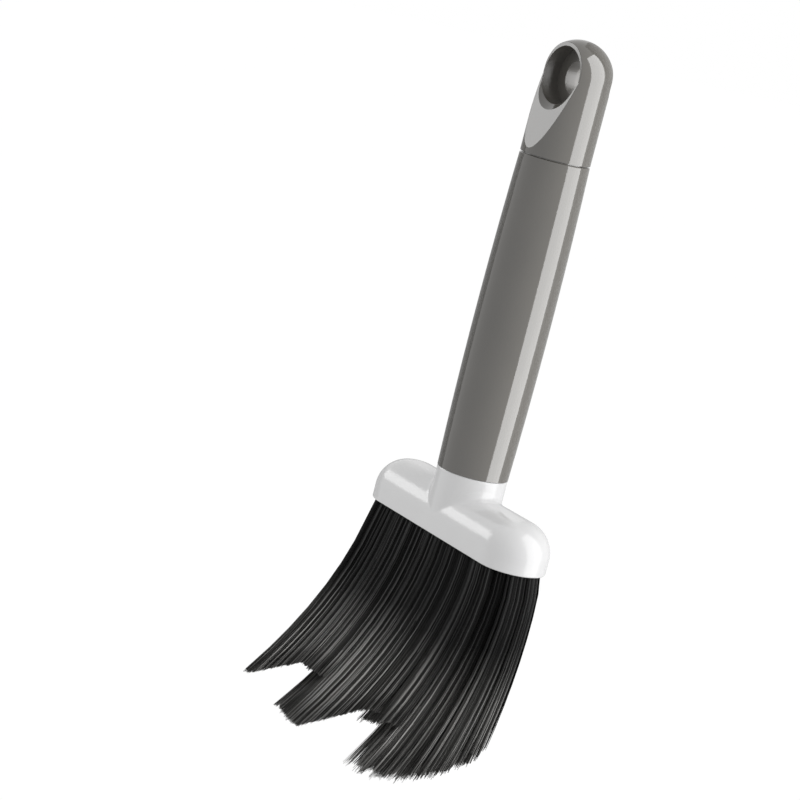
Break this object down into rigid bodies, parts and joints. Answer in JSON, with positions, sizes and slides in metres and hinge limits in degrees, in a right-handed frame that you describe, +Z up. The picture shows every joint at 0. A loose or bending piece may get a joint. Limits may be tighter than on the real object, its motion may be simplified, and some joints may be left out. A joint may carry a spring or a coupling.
{
  "type": "crevice brush",
  "caption": "Hand brush with a round grey handle, a hanging-hole end cap and a white T-shaped head holding rows of long flexible black bristle tufts.",
  "frame": {"origin": "centre of the hanging hole in the end cap", "axes": "+Z up along the handle, X along the head's bar, the cap's slanted front face and the bristles' lean are on the -Y side"},
  "size_m": [0.0933, 0.0561, 0.2451],
  "materials": {
    "grey_plastic": "glossy warm grey moulded plastic",
    "white_plastic": "glossy white moulded plastic",
    "black_plastic": "plain black moulded plastic",
    "staple_wire": "flat drawn wire",
    "bristles": "fine black synthetic filaments"
  },
  "bodies": {
    "handle": {"hanging_cap": "grey_plastic", "handle_tube": "grey_plastic", "head_shell": "white_plastic", "tuft_block": "black_plastic", "anchor_staples": "staple_wire"},
    "bristles": {"tuft_back_01": "bristles", "tuft_back_02": "bristles", "tuft_back_03": "bristles", "tuft_back_04": "bristles", "tuft_back_05": "bristles", "tuft_back_06": "bristles", "tuft_back_07": "bristles", "tuft_back_08": "bristles", "tuft_back_09": "bristles", "tuft_back_10": "bristles", "tuft_back_11": "bristles", "tuft_front_01": "bristles", "tuft_front_02": "bristles", "tuft_front_03": "bristles", "tuft_front_04": "bristles", "tuft_front_05": "bristles", "tuft_front_06": "bristles", "tuft_front_07": "bristles", "tuft_front_08": "bristles", "tuft_front_09": "bristles", "tuft_front_10": "bristles", "tuft_front_11": "bristles", "tuft_inner_back_01": "bristles", "tuft_inner_back_02": "bristles", "tuft_inner_back_03": "bristles", "tuft_inner_back_04": "bristles", "tuft_inner_back_05": "bristles", "tuft_inner_back_06": "bristles", "tuft_inner_back_07": "bristles", "tuft_inner_back_08": "bristles", "tuft_inner_back_09": "bristles", "tuft_inner_back_10": "bristles", "tuft_inner_back_11": "bristles", "tuft_inner_back_12": "bristles", "tuft_inner_back_13": "bristles", "tuft_inner_front_01": "bristles", "tuft_inner_front_02": "bristles", "tuft_inner_front_03": "bristles", "tuft_inner_front_04": "bristles", "tuft_inner_front_05": "bristles", "tuft_inner_front_06": "bristles", "tuft_inner_front_07": "bristles", "tuft_inner_front_08": "bristles", "tuft_inner_front_09": "bristles", "tuft_inner_front_10": "bristles", "tuft_inner_front_11": "bristles", "tuft_inner_front_12": "bristles", "tuft_inner_front_13": "bristles"}
  },
  "joints": [
    {"name": "bristle_flex", "type": "hinge", "parent": "handle", "child": "bristles", "pos_m": [0, 0, -0.15065], "axis": [1, 0, 0], "range_deg": [-15, 40], "stiffness_Nm_per_rad": 0.5, "deforming": ["tuft_back_01", "tuft_back_02", "tuft_back_03", "tuft_back_04", "tuft_back_05", "tuft_back_06", "tuft_back_07", "tuft_back_08", "tuft_back_09", "tuft_back_10", "tuft_back_11", "tuft_front_01", "tuft_front_02", "tuft_front_03", "tuft_front_04", "tuft_front_05", "tuft_front_06", "tuft_front_07", "tuft_front_08", "tuft_front_09", "tuft_front_10", "tuft_front_11", "tuft_inner_back_01", "tuft_inner_back_02", "tuft_inner_back_03", "tuft_inner_back_04", "tuft_inner_back_05", "tuft_inner_back_06", "tuft_inner_back_07", "tuft_inner_back_08", "tuft_inner_back_09", "tuft_inner_back_10", "tuft_inner_back_11", "tuft_inner_back_12", "tuft_inner_back_13", "tuft_inner_front_01", "tuft_inner_front_02", "tuft_inner_front_03", "tuft_inner_front_04", "tuft_inner_front_05", "tuft_inner_front_06", "tuft_inner_front_07", "tuft_inner_front_08", "tuft_inner_front_09", "tuft_inner_front_10", "tuft_inner_front_11", "tuft_inner_front_12", "tuft_inner_front_13"]}
  ]
}
